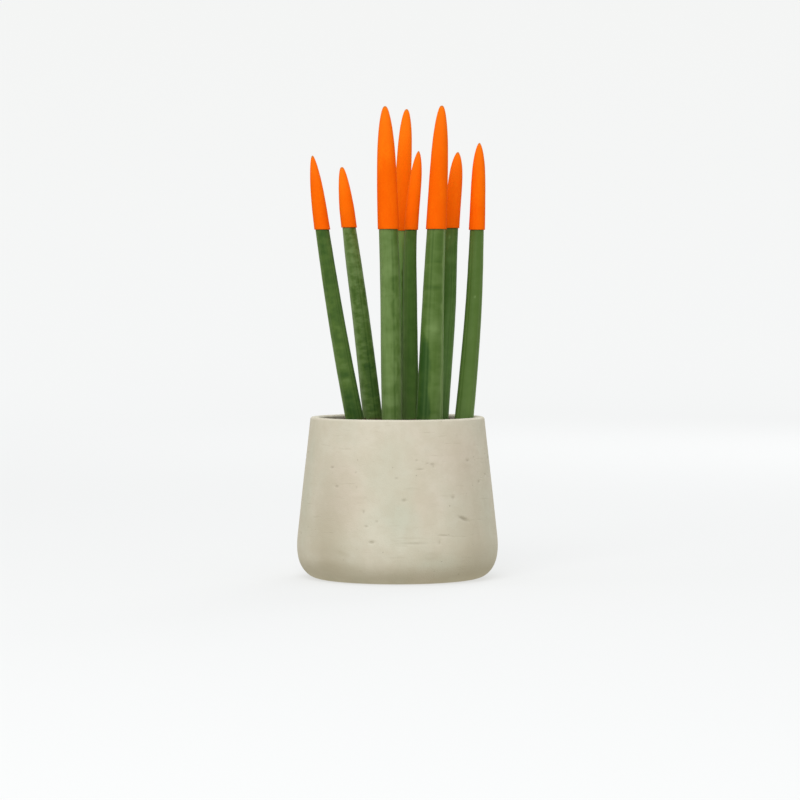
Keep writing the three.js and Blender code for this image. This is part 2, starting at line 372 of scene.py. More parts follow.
@dataclass(frozen=True)
class ConcreteFinish:
    """Cast concrete: pale and warm, with clouded colour, pinholes and fine level marks. Its darker
    colours also hold painted shade: in its pits and pinholes, on its low flanks, in a band above the
    foot and on the inner wall under the rim.
    """

    pale: Colour = shade(215, 210, 194)
    warm: Colour = shade(208, 201, 182)
    cool: Colour = shade(200, 203, 186)
    rosy: Colour = shade(212, 201, 186)
    # a darker colour, used for real patches and marks and for painted shade low on the pot
    stain: Colour = shade(180, 172, 150)
    # dark brown of dirt from the soil and painted shade on the inner wall
    residue: Colour = shade(104, 90, 72)
    # dirt and painted shade in pits, pinholes and pores
    hole: Colour = shade(140, 132, 112)
    cloud_size: float = 0.045
    patch_size: float = 0.0095
    mark_size: float = 0.010
    pinhole_spacing: float = 0.0062
    pinhole_size: float = 0.00055
    pore_spacing: float = 0.0022
    pore_size: float = 0.00022
    # painted shade: a darker band above the foot, where the wall turns under; it is 0 at the very foot,
    # full between foot_shade_low and foot_shade_full, and gone at foot_shade_from
    foot_shade_from: float = 0.0175
    foot_shade_full: float = 0.0095
    foot_shade_low: float = 0.0070

    def build(self) -> Material:
        """Returns the material."""
        material, sheet = open_material("cast_concrete")
        place = sheet.place()
        clouds = sheet.group(Effect.BLOTCHES, place, self.cloud_size)
        patches = sheet.group(Effect.BLOTCHES, place, self.patch_size)
        cools = sheet.group(Effect.BLOTCHES, place, 0.7 * self.cloud_size, squeeze=(1.3, 0.8, 1.0))
        roses = sheet.group(Effect.BLOTCHES, place, 0.5 * self.cloud_size, squeeze=(0.9, 0.9, 1.4))
        level = {"squeeze": (0.45, 0.45, 4.0), "low": 0.60, "high": 0.74}
        marks = sheet.group(Effect.BLOTCHES, place, self.mark_size, **level)
        pinholes, pores = (
            sheet.group(Effect.SPECKS, place, size, spacing=spacing, share=0.6)
            for size, spacing in (
                (self.pinhole_size, self.pinhole_spacing), (self.pore_size, self.pore_spacing)
            )
        )
        height_up = sheet.add("ShaderNodeSeparateXYZ", {0: place}).outputs[2]
        # the band above the foot that takes painted shade
        below = sheet.rise(height_up, self.foot_shade_from, self.foot_shade_full)
        above = sheet.rise(height_up, 0.0, self.foot_shade_low)
        tint = sheet.kept("tint")
        colour = sheet.layers(
            self.pale,
            (0.80, clouds, self.warm),
            (1.00, sheet.total(0.0, (0.30, roses), (-1.0, tint)), self.rosy),
            (1.00, sheet.total(0.0, (0.28, cools), (1.0, tint)), self.cool),
            (0.22, patches, self.warm),
            (0.11, patches, self.stain),
            (0.17, marks, self.stain),
            # real marks, and painted shade on the low flanks
            (1.00, sheet.kept("blemish"), self.stain),
            # painted shade in a band above the foot
            (0.34, sheet.math("MULTIPLY", below, above), self.stain),
            # pores, pinholes and pits darkened: dirt and painted shade in the hollows
            (0.20, pores, self.hole),
            (0.40, pinholes, self.hole),
            (1.00, sheet.kept("hollow"), self.hole),
            # dirt from the soil and painted shade on the inner wall
            (0.62, sheet.kept("residue"), self.residue),
        )
        rough = sheet.rise(patches, 0.0, 1.0, 0.82, 0.94, "LINEAR")
        fine, coarse = (sheet.group(Effect.GRAIN, place, size) for size in (0.0011, 0.006))
        height = sheet.total(fine, (1.2, coarse), (-0.8, pinholes), (-0.7, pores), (-0.4, marks))
        sheet.surface(colour, rough, 0.3, normal=sheet.bump(height, 0.55, 0.00035))
        return material


@dataclass(frozen=True)
class SoilFinish:
    """Dry-topped potting mix: dark and crumbly, never one tone."""

    name: str = "potting_mix"
    dark: Colour = shade(44, 33, 25)
    light: Colour = shade(88, 68, 50)
    patch_size: float = 0.006
    grain_size: float = 0.0009
    bump_depth: float = 0.0008

    def build(self) -> Material:
        """Returns the material."""
        material, sheet = open_material(self.name)
        place = sheet.place()
        patches = sheet.group(Effect.BLOTCHES, place, self.patch_size)
        grit = sheet.group(Effect.BLOTCHES, place, self.grain_size, low=0.4, high=0.7)
        grain = sheet.group(Effect.GRAIN, place, self.grain_size)
        colour = sheet.layers(self.dark, (0.6, patches, self.light), (0.5, grit, self.light))
        sheet.surface(colour, 0.95, 0.2, normal=sheet.bump(grain, 0.8, self.bump_depth))
        return material


@dataclass(frozen=True)
class LeafFinish:
    """A firm waxy leaf: greens in soft cross-bands and long streaks.

    The greens run from dark at 0 over middle to light at 1. Paleness says where a leaf lies
    between them, and banding and streaking say how far each effect moves it from there. The values
    that are kept on the leaf's mesh move it further; some of them are the leaf's own streaks and
    cross-bands, and many are painted highlights and painted shade.
    """

    paleness: float
    banding: float
    streaking: float
    band_size: float = 0.0075
    dark: Colour = shade(37, 74, 17)
    middle: Colour = shade(78, 107, 43)
    light: Colour = shade(111, 138, 79)
    line: Colour = shade(126, 152, 92)
    speck: Colour = shade(172, 186, 140)
    earth: Colour = shade(86, 70, 46)
    bloom: Colour = shade(158, 192, 118)
    bloom_share: float = 0.16
    shine: float = 0.22
    band_squeeze: Triple = (0.55, 0.55, 1.0)
    patch_size: float = 0.022
    streak_size: float = 0.0034
    streak_squeeze: Triple = (1.0, 1.0, 0.05)

    def build(self, name: str) -> Material:
        """Makes the material of one leaf, under its name."""
        material, sheet = open_material(name)
        place = sheet.kept("leaf_place", "Vector")
        bands, patches, streaks = (
            sheet.group(Effect.BLOTCHES, place, size, squeeze=squeeze, low=0.5 - half, high=0.5 + half)
            for size, squeeze, half in (
                (self.band_size, self.band_squeeze, 0.16),
                (self.patch_size, (1.0, 1.0, 1.0), 0.20),
                (self.streak_size, self.streak_squeeze, 0.22),
            )
        )
        green = sheet.total(
            self.paleness - (self.banding + self.streaking) / 2,
            (0.65 * self.banding, bands),
            (0.35 * self.banding, patches),
            (self.streaking, streaks),
            # markings of the leaf, painted highlights and painted shade, kept on its mesh
            (1.0, sheet.kept("tone")),
        )
        groove = sheet.kept("groove")
        colour = sheet.layers(
            self.dark,
            (2.0, green, self.middle),
            (1.0, sheet.total(-1.0, (2.0, green)), self.light),
            (0.5, sheet.math("MULTIPLY", groove, sheet.math("SUBTRACT", 1.0, groove)), self.line),
            (0.15, sheet.math("POWER", groove, 3.0), self.dark),
            (0.6, sheet.group(Effect.SPECKS, place, 0.0008, spacing=0.011, share=0.05), self.speck),
            (0.75, sheet.kept("earth"), self.earth),
        )
        sheen = sheet.group(Effect.BLOTCHES, place, 0.9 * self.band_size)
        rough = sheet.rise(sheen, 0.0, 1.0, 0.42, 0.54, "LINEAR")
        grain = sheet.group(Effect.GRAIN, place, 0.0011)
        fibres = sheet.group(Effect.GRAIN, sheet.stretch(place, self.streak_squeeze), 0.0012)
        normal = sheet.bump(sheet.total(grain, (2.0, fibres)), 0.22, 0.00014)
        bloom = {"sheen_weight": self.bloom_share, "sheen_roughness": 0.5, "sheen_tint": self.bloom}
        sheet.surface(colour, rough, self.shine, normal=normal, **bloom)
        return material


@dataclass(frozen=True)
class PaintFinish:
    """A thick matt coat of orange, worn to the leaf's dry brown end at the very tip. It is painted
    darker low on the coat, as painted shade, and lighter towards the tip, as a painted highlight.
    """

    name: str = "orange_coat"
    main: Colour = shade(250, 104, 0)
    lit: Colour = shade(255, 117, 4)
    deep: Colour = shade(246, 93, 0)
    # low and high: painted shade on the lower part of the coat and a painted highlight on its upper part
    low: Colour = shade(252, 94, 0)
    high: Colour = shade(255, 126, 22)
    dry: Colour = shade(178, 118, 52)

    def build(self) -> Material:
        """Returns the material."""
        material, sheet = open_material(self.name)
        place = sheet.place()
        colour = sheet.layers(
            self.main,
            (1.00, sheet.group(Effect.BLOTCHES, place, 0.012, squeeze=(1.0, 1.0, 0.4)), self.lit),
            (0.35, sheet.group(Effect.BLOTCHES, place, 0.0016), self.deep),
            (1.00, sheet.kept("low_coat"), self.low),
            (1.00, sheet.kept("high_coat"), self.high),
            (0.70, sheet.kept("dry_tip"), self.dry),
        )
        grain = sheet.group(Effect.GRAIN, place, 0.0006)
        sheet.surface(colour, 0.8, 0.05, normal=sheet.bump(grain, 0.4, 0.00018))
        return material


# a lighter copy of the orange coat for the leaves at the back: painted light that stands in for the light
# their shade takes away
THIN_COAT = PaintFinish("thin_orange_coat", shade(252, 116, 3), shade(255, 124, 8), shade(250, 106, 0))


# ---- the pot ----


@dataclass(frozen=True)
class Pit:
    """A hollow that a trapped bubble or a drag mark left in the cast wall.

    Its angle is in degrees round the pot from the front, and positive to the right. Its tilt is in
    degrees too. Its stain value says how much darker it is than the wall round it; that
    darkening is dirt together with painted shade, in a pit's hollow and on the pot's shaded flanks.
    """

    angle: float
    height: float
    width: float
    tall: float
    depth: float
    tilt: float = 0.0
    stain: float = 0.33

    def share(self, angles: Array, heights: Array, radii: Array) -> Array:
        """How far into the pit places on the wall are.

        Args:
            angles: Their angles round the pot from the front, in radians.
            heights: Their heights.
            radii: Their distances from the pot's axis.

        Returns:
            1 at its middle, falling softly to 0 outside it.
        """
        cos, sin = math.cos(math.radians(self.tilt)), math.sin(math.radians(self.tilt))
        across = angle_from(angles, self.angle) * radii
        up = heights - self.height
        along = (across * cos + up * sin) / (self.width / 2)
        over = (up * cos - across * sin) / (self.tall / 2)
        return np.exp(-1.8 * (along**2 + over**2) ** 1.3)


def mark(
    angle: float, height: float, width: float, tall: float, stain: float, tilt: float = 0.0
) -> Pit:
    """A pit of no depth."""
    return Pit(angle, height, width, tall, 0.0, tilt, stain)


@dataclass
class Planter:
    """The cast concrete pot: a cone that widens downwards and turns in smoothly to its foot.

    Its blemishes are darker or lighter marks, and the broad darker ones low down and on
    both flanks are painted shade. Its tints are greener marks where their value is above zero, and
    rosier ones where it is below.
    """

    height: float = 0.123
    mouth_radius: float = 0.0666
    flare: float = 0.11
    foot_radius: float = 0.060
    turn_height: float = 0.034
    turn_fullness: float = 2.5
    wall: float = 0.0075
    floor: float = 0.011
    rim_rounding: float = 0.002
    inner_corner: float = 0.016
    seen_depth: float = 0.110
    # the inner wall is darkened below these heights: dirt from the soil and painted shade inside the rim
    residue_top: float = 0.1222
    residue_full: float = 0.1202
    sides: int = 400
    row_step: float = 0.00066
    waviness: float = 0.00035
    wave_size: float = 0.045
    tooth: float = 0.00006
    tooth_size: float = 0.0035
    seed: int = 7
    scattered_pits: int = 46
    pits: tuple[Pit, ...] = (
        Pit(-44, 0.0867, 0.0032, 0.0017, 0.0007), Pit(-39, 0.0728, 0.0036, 0.0022, 0.0006),
        Pit(-26, 0.0837, 0.0022, 0.0014, 0.0003), Pit(-20, 0.055, 0.0018, 0.0034, 0.0006, 15),
        Pit(-18, 0.044, 0.0026, 0.002, 0.0006), Pit(-12, 0.0479, 0.0018, 0.0024, 0.0003),
        Pit(-14.5, 0.0323, 0.0046, 0.0024, 0.0009), Pit(-0.5, 0.0797, 0.002, 0.002, 0.0003),
        Pit(4, 0.0634, 0.0036, 0.0028, 0.0006), Pit(12, 0.0929, 0.0018, 0.002, 0.0005),
        Pit(14, 0.0862, 0.0068, 0.0013, 0.0004), Pit(22, 0.0897, 0.005, 0.002, 0.0005, -6),
        Pit(22.5, 0.0883, 0.0024, 0.0026, 0.0005), Pit(18.5, 0.0905, 0.003, 0.0013, 0.0003, 20),
        Pit(49, 0.0916, 0.0042, 0.0022, 0.0004), Pit(59, 0.0753, 0.0032, 0.0024, 0.0005),
        Pit(69, 0.08, 0.0028, 0.0018, 0.0006), Pit(35, 0.0648, 0.0038, 0.0034, 0.0004),
        Pit(42, 0.0484, 0.0125, 0.003, 0.001, -21, 0.5), Pit(24, 0.032, 0.0016, 0.004, 0.0005),
        Pit(9, 0.0316, 0.026, 0.0016, 0.0003, 0, 0.25), Pit(27, 0.037, 0.011, 0.0014, 0.0004, -4),
    )
    blemishes: tuple[Pit, ...] = (
        mark(19, 0.0218, 0.016, 0.0075, 0.34, 8), mark(24, 0.0225, 0.032, 0.015, 0.14),
        mark(-12, 0.025, 0.03, 0.02, 0.11), mark(19, 0.0222, 0.008, 0.0032, -0.20, 8),
        mark(-32, 0.0234, 0.015, 0.005, 0.22, -16), mark(-22, 0.065, 0.018, 0.003, 0.15),
        # the broad marks about 40 to 62 degrees either side, low down and on the flanks, are painted
        # shade
        mark(46, 0.088, 0.018, 0.006, 0.18), mark(-42, 0.056, 0.044, 0.09, 0.40),
        mark(-62, 0.07, 0.056, 0.12, 0.14), mark(-50, 0.034, 0.068, 0.048, 0.28),
        mark(50, 0.06, 0.04, 0.09, 0.28), mark(46, 0.032, 0.054, 0.034, 0.16),
        mark(-40, 0.023, 0.048, 0.024, 0.30), mark(-42, 0.0125, 0.06, 0.013, 0.52),
        mark(48, 0.018, 0.052, 0.03, 0.38),
    )
    tints: tuple[Pit, ...] = (
        mark(-5, 0.076, 0.044, 0.07, 0.34), mark(1, 0.042, 0.04, 0.05, 0.34),
        mark(-70, 0.07, 0.026, 0.1, 0.38), mark(66, 0.05, 0.03, 0.064, 0.42),
        mark(24, 0.016, 0.04, 0.014, 0.34), mark(-34, 0.066, 0.048, 0.066, -0.50),
        mark(42, 0.094, 0.056, 0.052, -0.50), mark(20, 0.066, 0.032, 0.05, -0.20),
    )

    def side_radius(self, height: Array | float) -> Array | float:
        """The outside radius of the plain cone at a height."""
        return self.mouth_radius + self.flare * (self.height - height)

    def inner_radius(self, height: Array | float) -> Array | float:
        """The inside radius at a height above the inner corner."""
        return self.side_radius(height) - self.wall

    def outside(self) -> Array:
        """The outline from the foot's middle up to the top of the rim, as radius and height."""
        foot = [(self.foot_radius * share, 0.0) for share in (0.25, 0.5, 0.75, 0.93)]
        turn_steps = round(1.35 * self.turn_height / self.row_step)
        angles = math.pi / 2 * np.linspace(1, 0, turn_steps + 1) ** (self.turn_fullness / 2)
        low = self.turn_height * (1 - np.sin(angles) ** (2 / self.turn_fullness))
        overhang = (self.side_radius(0) - self.foot_radius) * (1 - np.cos(angles))
        rim_base = self.height - self.rim_rounding
        side_steps = round((rim_base - self.turn_height) / self.row_step)
        high = np.linspace(self.turn_height, rim_base, side_steps + 1)[1:-1]
        turn = np.stack([self.side_radius(low) - overhang, low], axis=1)
        side = np.stack([self.side_radius(high), high], axis=1)
        lip_middle = (self.side_radius(rim_base) - self.rim_rounding, rim_base)
        return np.vstack([foot, turn, side, quarter_circle(lip_middle, self.rim_rounding, 0, 7)])

    def corner(self, radius: float) -> Array:
        """The inner corner from the floor up, or a line inside it with a smaller radius."""
        top = self.floor + self.inner_corner
        return quarter_circle(
            (self.inner_radius(top) - self.inner_corner, top), radius, -math.pi / 2, 6
        )

    def inside(self) -> Array:
        """The outline from the top of the rim down to the floor, as radius and height."""
        rim_base = self.height - self.rim_rounding
        lip_middle = (self.inner_radius(rim_base) + self.rim_rounding, rim_base)
        lip = quarter_circle(lip_middle, self.rim_rounding, math.pi / 2, 7)
        seen = np.linspace(rim_base, self.seen_depth, 13)[1:]
        hidden = np.linspace(self.seen_depth, self.floor + self.inner_corner, 6)[1:-1]
        heights = np.concatenate([seen, hidden])
        wall = np.stack([self.inner_radius(heights), heights], axis=1)
        return np.vstack([lip, wall, self.corner(self.inner_corner)[::-1]])

    def all_pits(self) -> list[Pit]:
        """The pits that are placed one by one, and smaller ones scattered over the rest."""
        draw = np.random.default_rng(self.seed)
        scattered = []
        for _ in range(self.scattered_pits):
            width = draw.uniform(0.0016, 0.0045)
            angle, height = draw.uniform(72, 288), draw.uniform(0.014, 0.112)
            tall, depth = width * draw.uniform(0.4, 0.9), draw.uniform(0.0003, 0.0008)
            scattered.append(Pit(angle, height, width, tall, depth, draw.normal(0, 12)))
        for _ in range(self.scattered_pits // 4):
            angle, height = draw.uniform(75, 285), draw.uniform(0.02, 0.105)
            width = draw.uniform(0.008, 0.024)
            scattered.append(Pit(angle, height, width, 0.0013, 0.0003, draw.normal(0, 5)))
        return [*self.pits, *scattered]

    def build(self) -> None:
        """Makes the pot in place of its plain solid."""
        outside = self.outside()
        outline = np.vstack([outside, self.inside()])
        run = np.gradient(outline, axis=0)
        run /= np.linalg.norm(run, axis=1, keepdims=True)
        angles = angles_round(self.sides)
        radii, heights = outline[:, :1] + 0 * angles, outline[:, 1:] + 0 * angles
        right, back = np.sin(angles), -np.cos(angles)
        points = np.stack([radii * right, radii * back, heights], axis=-1)
        outer = np.arange(len(outline))[:, None] < len(outside)
        spots = (angles, heights, radii)
        hollow, sunk = np.zeros_like(radii), np.zeros_like(radii)
        # each pit's darkening in the hollow mask is dirt and painted shade
        for pit in self.all_pits():
            share = pit.share(*spots) * outer
            hollow = np.maximum(hollow, share * pit.stain)
            sunk = np.maximum(sunk, share * pit.depth)
        blemish, tint = (
            sum(each.share(*spots) * outer * each.stain for each in marks)
            for marks in (self.blemishes, self.tints)
        )
        splash = 0.75 + 0.5 * uneven(points, 0.006, 2)
        # a dark brown band on the inner wall from just under the rim down: dirt from the soil and painted
        # shade
        residue = ~outer * splash * smooth_step(-heights, -self.residue_top, -self.residue_full)

        wave = 0.5 + 0.5 * uneven(points, self.wave_size)
        tooth = 0.5 + 0.5 * uneven(points, self.tooth_size)
        off_the_foot = smooth_step(heights, 0.0, 0.004) + (radii < self.foot_radius - 0.02)
        off_the_foot = np.where(heights < 0.0005, 0.0, np.clip(off_the_foot, 0, 1))
        relief = (self.waviness * wave + self.tooth * tooth) * off_the_foot + sunk
        points[..., 0] -= relief * run[:, 1:] * right
        points[..., 1] -= relief * run[:, 1:] * back
        points[..., 2] += relief * run[:, :1]
        mesh = skin_of_rings("planter", points, np.zeros(3), np.array([0, 0, self.floor]))
        keep_values(mesh, hollow=hollow, blemish=np.clip(blemish, 0, 1), tint=tint, residue=residue)
        finished("concrete_pot", mesh, ConcreteFinish().build(), "planter")


# ---- the leaves and their paint ----


@dataclass(frozen=True)
class Stripe:
    """A lengthwise stripe on a leaf, lighter where its value is above zero and darker below. A few
    stripes are the leaf's own streaks; most are painted highlights along edges, painted shade on
    shaded sides and low parts, and painted light that lifts shaded low parts.

    Its side is the angle of its middle about the leaf, from +X towards +Y, and its spread is the
    angle from there to its soft border, all in degrees. It starts at one height, and has its whole
    spread from another one down.
    """

    side: float
    spread: float
    blur: float
    tone: float
    start: float = 0.6
    full: float = 0.5

    def tone_at(self, angles: Array, heights: Array, radii: Array) -> Array:
        """How much lighter it makes places at some angles, heights and radii on the leaf."""
        grown = smooth_step(-heights, -self.start, -self.full)
        away = np.degrees(np.abs(angle_from(angles, self.side)))
        border = self.spread * grown
        return self.tone * grown * (1 - smooth_step(away - border, -self.blur, self.blur))


@dataclass(frozen=True)
class Patch:
    """A soft patch on a leaf, with its side and its lightness as a stripe's. Most are the leaf's own
    cross-bands; a few are painted light and painted shade.
    """

    side: float
    height: float
    width: float
    tall: float
    tone: float

    def tone_at(self, angles: Array, heights: Array, radii: Array) -> Array:
        """How much lighter it makes places at some angles, heights and radii on the leaf."""
        across = angle_from(angles, self.side) * radii / (self.width / 2)
        up = (heights - self.height) / (self.tall / 2)
        return self.tone * np.exp(-((across**2 + up**2) ** 1.3))


@dataclass(frozen=True)
class Leaf:
    """One round leaf, from its buried foot to its pointed end.

    Its path holds the middle of the leaf as x and y at five equally spaced heights. Its girth holds
    the radius at the foot, half-way and at the tip if it had no point. Its turn is the angle of its
    first groove in degrees, from +X towards +Y, and dry is how much higher than the dip line its
    paint starts.
    """

    number: int
    path: tuple[tuple[float, float], ...]
    top: float
    girth: Triple
    point_length: float
    point_power: float
    turn: float
    finish: LeafFinish
    tones: tuple[Stripe | Patch, ...]
    dry: float = 0.0
    paint: PaintFinish = PaintFinish()
    foot: float = 0.084
    grooves: int = 4
    groove_depth: float = 0.00024
    groove_sharpness: int = 16
    groove_end: float = 0.8
    earth_top: float = 0.1225
    earth_full: float = 0.1180
    furrows: int = 17
    furrow_depth: float = 0.00003
    swelling: float = 0.000072
    waver: float = 0.16
    sides: int = 100
    rows: int = 190

    @property
    def length(self) -> float:
        """The leaf's height from foot to tip."""
        return self.top - self.foot

    def middle(self, shares: Array) -> tuple[Array, Array]:
        """Where the leaf's middle is, and the way it runs.

        Args:
            shares: Shares of the leaf's height, from 0 at its foot to 1 at its tip.

        Returns:
            The points, and the unit vectors along the leaf, in the shape of the shares.
        """
        spans = len(self.path) - 1
        inner = np.column_stack([self.path, np.linspace(self.foot, self.top, spans + 1)])
        knots = np.vstack([2 * inner[0] - inner[1], inner, 2 * inner[-1] - inner[-2]])
        along = np.clip(shares, 0, 1) * spans
        span = np.minimum(along.astype(int), spans - 1)
        t = (along - span)[..., None]
        p0, p1, p2, p3 = [knots[span + i] for i in range(4)]
        start, end = (p2 - p0) / 2, (p3 - p1) / 2
        square = 3 * (p2 - p1) - 2 * start - end
        cube = 2 * (p1 - p2) + start + end
        slope = start + 2 * square * t + 3 * cube * t**2
        unit = slope / np.linalg.norm(slope, axis=-1, keepdims=True)
        return p1 + start * t + square * t**2 + cube * t**3, unit

    def shaft(self, shares: Array) -> Array:
        """The radius that the leaf would have if it had no point."""
        foot, half, top = self.girth
        s = np.clip(shares, 0, 1)
        return foot * (1 - s) * (1 - 2 * s) + half * 4 * s * (1 - s) + top * s * (2 * s - 1)

    def radius(self, shares: Array) -> Array:
        """The leaf's radius at shares of its height."""
        s = np.clip(shares, 0, 1)
        left = 1 - np.minimum(self.length * (1 - s) / self.point_length, 1)
        return self.shaft(s) * (1 - left**2) ** self.point_power

    def placed(
        self, shares: Array, angles: Array, radii: Array, beyond: Array | float = 0.0
    ) -> Array:
        """Places points round the leaf.

        Args:
            shares: Their shares of the leaf's height.
            angles: Their angles round it.
            radii: Their distances from its middle.
            beyond: How far past the leaf's end they are, along it.

        Returns:
            The points.
        """
        middle, run = self.middle(shares)
        level = [radii * np.cos(angles), radii * np.sin(angles), beyond + 0 * radii]
        offset = np.stack(level, axis=-1)
        lean = np.stack([-run[..., 1], run[..., 0], 0 * run[..., 0]], axis=-1)
        once = np.cross(lean, offset)
        return middle + offset + once + np.cross(lean, once) / (1 + run[..., 2:])

    def build(self) -> None:
        """Makes the leaf in place of its plain solid."""
        shares = 1 - (1 - np.linspace(0, 1, self.rows, endpoint=False)) ** 1.35
        shares, angles = np.meshgrid(shares, angles_round(self.sides), indexing="ij")
        radii = self.radius(shares)
        start = LEAF_STEP * self.number
        x, y = LEAF_ROUND * np.cos(angles), LEAF_ROUND * np.sin(angles)
        straight = np.stack([x, y, shares * self.length + start], axis=-1)
        heights = self.foot + self.length * shares
        wavering = angles + self.waver * uneven(straight * np.array([1, 1, 0.45]), 0.0045, 2)
        # the leaf's own streaks and cross-bands together with painted highlights and painted shade
        tone = sum((each.tone_at(wavering, heights, radii) for each in self.tones), 0 * shares)
        from_groove = (angles - math.radians(self.turn)) * self.grooves / 2
        fade = smooth_step(self.groove_end - shares, 0, 0.15)
        groove = fade * np.cos(from_groove) ** self.groove_sharpness
        splash = heights - 0.002 * uneven(straight, 0.0035, 2)
        earth = smooth_step(-splash, -self.earth_top, -self.earth_full)
        furrow = 0.5 + 0.5 * np.cos(self.furrows * angles + 2.5 * uneven(straight, 0.05))
        lumps = uneven(straight * np.array([1, 1, 0.6]), 0.006)
        fullness = smooth_step(radii, 0.0015, 0.004)
        radii = radii - self.groove_depth * groove
        radii += fullness * (self.swelling * lumps - self.furrow_depth * furrow)

        name = f"leaf_{self.number}"
        ends, _ = self.middle(np.array([0.0, 1.0]))
        mesh = skin_of_rings(name, self.placed(shares, angles, radii), ends[0], ends[1])
        centres = [[0, 0, start], [0, 0, self.length + start]]
        places = np.vstack([straight.reshape(-1, 3), centres]).astype(np.float32)
        kept = mesh.attributes.new("leaf_place", "FLOAT_VECTOR", "POINT")
        kept.data.foreach_set("vector", places.ravel())
        keep_values(mesh, groove=groove, tone=tone, earth=earth)
        finished(f"green_{name}", mesh, self.finish.build(f"green_{name}"), name)


@dataclass(frozen=True)
class PaintCoat:
    """The paint on a leaf's end: a thin shell with a level, slightly rounded lower edge."""

    leaf: Leaf
    material: Material
    dip_line: float = 0.2653
    outer: float = 0.00088
    inner: float = 0.00030
    edge: float = 0.0002
    fullness: float = 0.86
    shoulder: float = 0.085
    thick_from: float = 0.015
    unevenness: float = 0.00007
    dry_end: float = 0.0034
    # how strong the painted shade low on the coat and the painted highlight near its end are
    low_share: float = 0.35
    high_share: float = 0.45
    sides: int = 80
    rows: int = 84
    inner_rows: int = 24
    edge_rows: int = 4

    def radius(self, shares: Array, beyond: Array, proud: float) -> Array:
        """The radius of a skin that stands proud of the leaf and closes just past its tip."""
        leaf = self.leaf
        to_go = leaf.length * (1 - shares) + proud - beyond
        left = 1 - np.clip(to_go / (leaf.point_length + proud), 0, 1)
        taper = (1 - left**2) ** (leaf.point_power * self.fullness)
        above_line = leaf.foot + leaf.length * shares - self.dip_line - leaf.dry
        thick = self.shoulder * smooth_step(above_line, 0, self.thick_from)
        return (leaf.shaft(shares) + proud) * taper * (1 + thick * np.sin(math.pi * left**2))

    def skin(self, proud: float, rows: int) -> Array:
        """Rings of points over the leaf's end, from a level one at the bottom up.

        Args:
            proud: How far they stand off the leaf.
            rows: How many rings there are.

        Returns:
            The points by ring and place round it.
        """
        leaf = self.leaf
        angles = angles_round(self.sides)
        level = self.dip_line + leaf.dry + self.edge
        low = np.full_like(angles, (level - leaf.foot) / leaf.length)
        for _ in range(6):
            here = leaf.placed(low, angles, self.radius(low, 0 * low, proud))
            low = low + (level - here[:, 2]) / leaf.length
        top = 1 + proud / leaf.length
        climb = 1 - (1 - np.linspace(0, 1, rows, endpoint=False)) ** 1.7
        heights = low + (top - low) * climb[:, None]
        shares = np.minimum(heights, 1)
        beyond = (heights - shares) * leaf.length
        return leaf.placed(shares, angles + 0 * shares, self.radius(shares, beyond, proud), beyond)

    def build(self) -> None:
        """Makes the coat in place of its plain solid."""
        leaf = self.leaf
        outside = self.skin(self.outer, self.rows)
        inside = self.skin(self.inner, self.inner_rows)[::-1]
        ripple = self.unevenness * np.abs(uneven(outside * np.array([1, 1, 0.5]), 0.004))
        away = outside - outside.mean(axis=1, keepdims=True)
        reach = np.linalg.norm(away, axis=-1, keepdims=True)
        outside = outside - away / np.maximum(reach, 1e-6) * ripple[..., None]
        turn = np.linspace(0, math.pi, self.edge_rows + 2)[-2:0:-1, None, None]
        out = 0.5 + 0.5 * np.cos(turn)
        drop = self.edge * np.sin(turn) * np.array([0, 0, 1])
        edge = outside[0] * out + inside[-1] * (1 - out) - drop
        rings = np.concatenate([inside, edge, outside])
        middle, run = leaf.middle(np.array([1.0]))
        tip, hollow_tip = middle[0] + run[0] * self.outer, middle[0] + run[0] * self.inner
        name = f"paint_{leaf.number}"
        mesh = skin_of_rings(name, rings, hollow_tip, tip)
        points = np.vstack([rings.reshape(-1, 3), hollow_tip, tip])
        from_tip = np.linalg.norm(points - tip, axis=-1)
        climb = (points[:, 2] - self.dip_line) / (leaf.top - self.dip_line)
        keep_values(
            mesh,
            dry_tip=1 - smooth_step(from_tip, 0.0008, self.dry_end),
            # painted shade fading up the lower half of the coat, and a painted highlight rising towards
            # its end
            low_coat=self.low_share * (1 - smooth_step(climb, 0.0, 0.5)),
            high_coat=self.high_share * smooth_step(climb, 0.4, 1.0),
        )
        finished(f"orange_{name}", mesh, self.material, name)


